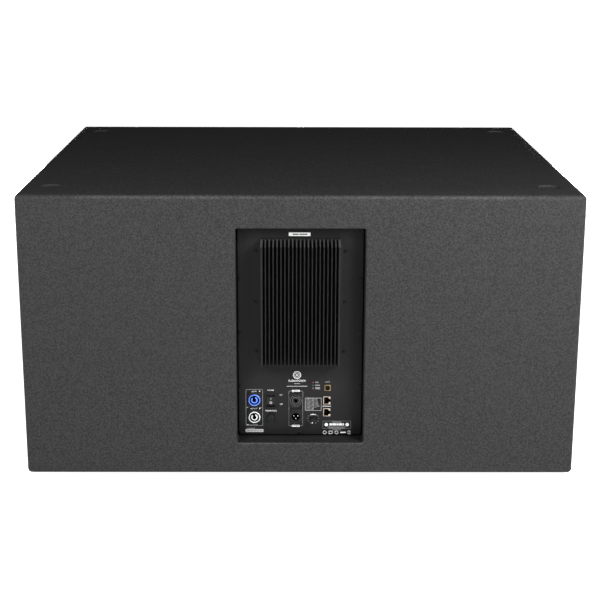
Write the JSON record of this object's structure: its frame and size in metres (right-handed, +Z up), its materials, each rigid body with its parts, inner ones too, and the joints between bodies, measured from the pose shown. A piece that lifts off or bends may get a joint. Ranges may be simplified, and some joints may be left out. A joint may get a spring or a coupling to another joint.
{
  "type": "powered loudspeaker subwoofer",
  "caption": "Low, wide bass cabinet in textured charcoal paint: twin woofers and slot port behind a grille, recessed amplifier plate with heat sink at the rear, side handles and stacking cups.",
  "frame": {"origin": "on the floor, under the middle of the cabinet", "axes": "+Z up, -Y out of the grille, +Y out of the amplifier panel, +X to the right as a listener sees it"},
  "size_m": [1.06, 0.9, 0.56],
  "materials": {
    "cabinet_paint": "hard textured charcoal paint over birch plywood",
    "bare_birch": "unfinished birch plywood",
    "black_steel": "black powder coat",
    "black_aluminium": "satin black anodised",
    "bare_steel": "zinc-plated sheet",
    "black_rubber": "matte",
    "black_foam": "open-cell acoustic foam",
    "black_plastic": "moulded, fine grain",
    "blue_plastic": "moulded",
    "grey_plastic": "moulded",
    "connector_metal": "tin-plated shell",
    "cone_paper": "pressed pulp, dark",
    "spider_cloth": "resin-stiffened weave",
    "coil_copper": "enamelled winding",
    "magnet": "ferrite ring between steel plates",
    "circuit_board": "glass-epoxy board with components",
    "clear_plastic": "clear",
    "cable_sheath": "round two-core sheath"
  },
  "bodies": {
    "cabinet": {"top_panel": "cabinet_paint", "bottom_panel": "cabinet_paint", "left_side_panel": "cabinet_paint", "right_side_panel": "cabinet_paint", "rear_panel": "cabinet_paint", "front_baffle": "cabinet_paint", "amp_recess_frame": "cabinet_paint", "port_wall_left": "bare_birch", "port_wall_right": "bare_birch", "handle_front_left": "black_steel", "handle_rear_left": "black_steel", "handle_front_right": "black_steel", "handle_rear_right": "black_steel", "front_grille": "black_steel", "grille_screw_left": "black_steel", "grille_screw_middle": "black_steel", "grille_screw_right": "black_steel", "foot_front_left": "black_rubber", "foot_rear_left": "black_rubber", "foot_front_right": "black_rubber", "foot_rear_right": "black_rubber", "surround_left": "black_rubber", "surround_right": "black_rubber", "grille_foam": "black_foam", "amp_gasket": "black_foam", "woofer_basket_left": "black_aluminium", "woofer_basket_right": "black_aluminium", "amp_plate": "black_aluminium", "heat_sink": "black_aluminium", "woofer_magnet_left": "magnet", "woofer_magnet_right": "magnet", "spider_left": "spider_cloth", "spider_right": "spider_cloth", "speaker_cable_left": "cable_sheath", "speaker_cable_right": "cable_sheath", "amp_cover": "bare_steel", "level_pot": "bare_steel", "power_board": "circuit_board", "signal_board": "circuit_board", "power_inlet": "blue_plastic", "power_link_outlet": "grey_plastic", "ethernet_jack_upper": "connector_metal", "ethernet_jack_lower": "connector_metal", "usb_port": "connector_metal", "indicator_light_pipe": "clear_plastic", "combo_input": "black_plastic", "link_output": "black_plastic", "rocker_housing": "black_plastic", "fuse_holder": "black_plastic"},
    "left_cone": {"woofer_cone_left": "cone_paper", "dust_cap_left": "cone_paper", "voice_coil_left": "coil_copper"},
    "right_cone": {"woofer_cone_right": "cone_paper", "dust_cap_right": "cone_paper", "voice_coil_right": "coil_copper"},
    "power_rocker": {"power_rocker": "black_plastic"},
    "level_knob": {"level_knob": "black_plastic"},
    "combo_latch": {"combo_latch": "black_plastic"},
    "fuse_cap": {"fuse_cap": "black_plastic"}
  },
  "joints": [
    {"name": "power_rocker_tilt", "type": "hinge", "parent": "cabinet", "child": "power_rocker", "pos_m": [0.0568, 0.407, 0.146], "axis": [-1, 0, 0], "range_deg": [0, 22]},
    {"name": "level_knob_turn", "type": "hinge", "parent": "cabinet", "child": "level_knob", "pos_m": [-0.0258, 0.412, 0.109], "axis": [0, -1, 0], "range_deg": [0, 300]},
    {"name": "combo_latch_press", "type": "slide", "parent": "cabinet", "child": "combo_latch", "axis": [0, -1, 0], "range_m": [0, 0.002], "stiffness_N_per_m": 600},
    {"name": "fuse_cap_turn", "type": "hinge", "parent": "cabinet", "child": "fuse_cap", "pos_m": [0.0568, 0.412, 0.113], "axis": [0, 1, 0], "range_deg": [0, 90]},
    {"name": "left_cone_stroke", "type": "slide", "parent": "cabinet", "child": "left_cone", "axis": [0, -1, 0], "range_m": [-0.012, 0.012], "stiffness_N_per_m": 6000, "deforming": ["surround_left", "spider_left"]},
    {"name": "right_cone_stroke", "type": "slide", "parent": "cabinet", "child": "right_cone", "axis": [0, -1, 0], "range_m": [-0.012, 0.012], "stiffness_N_per_m": 6000, "deforming": ["surround_right", "spider_right"]}
  ]
}
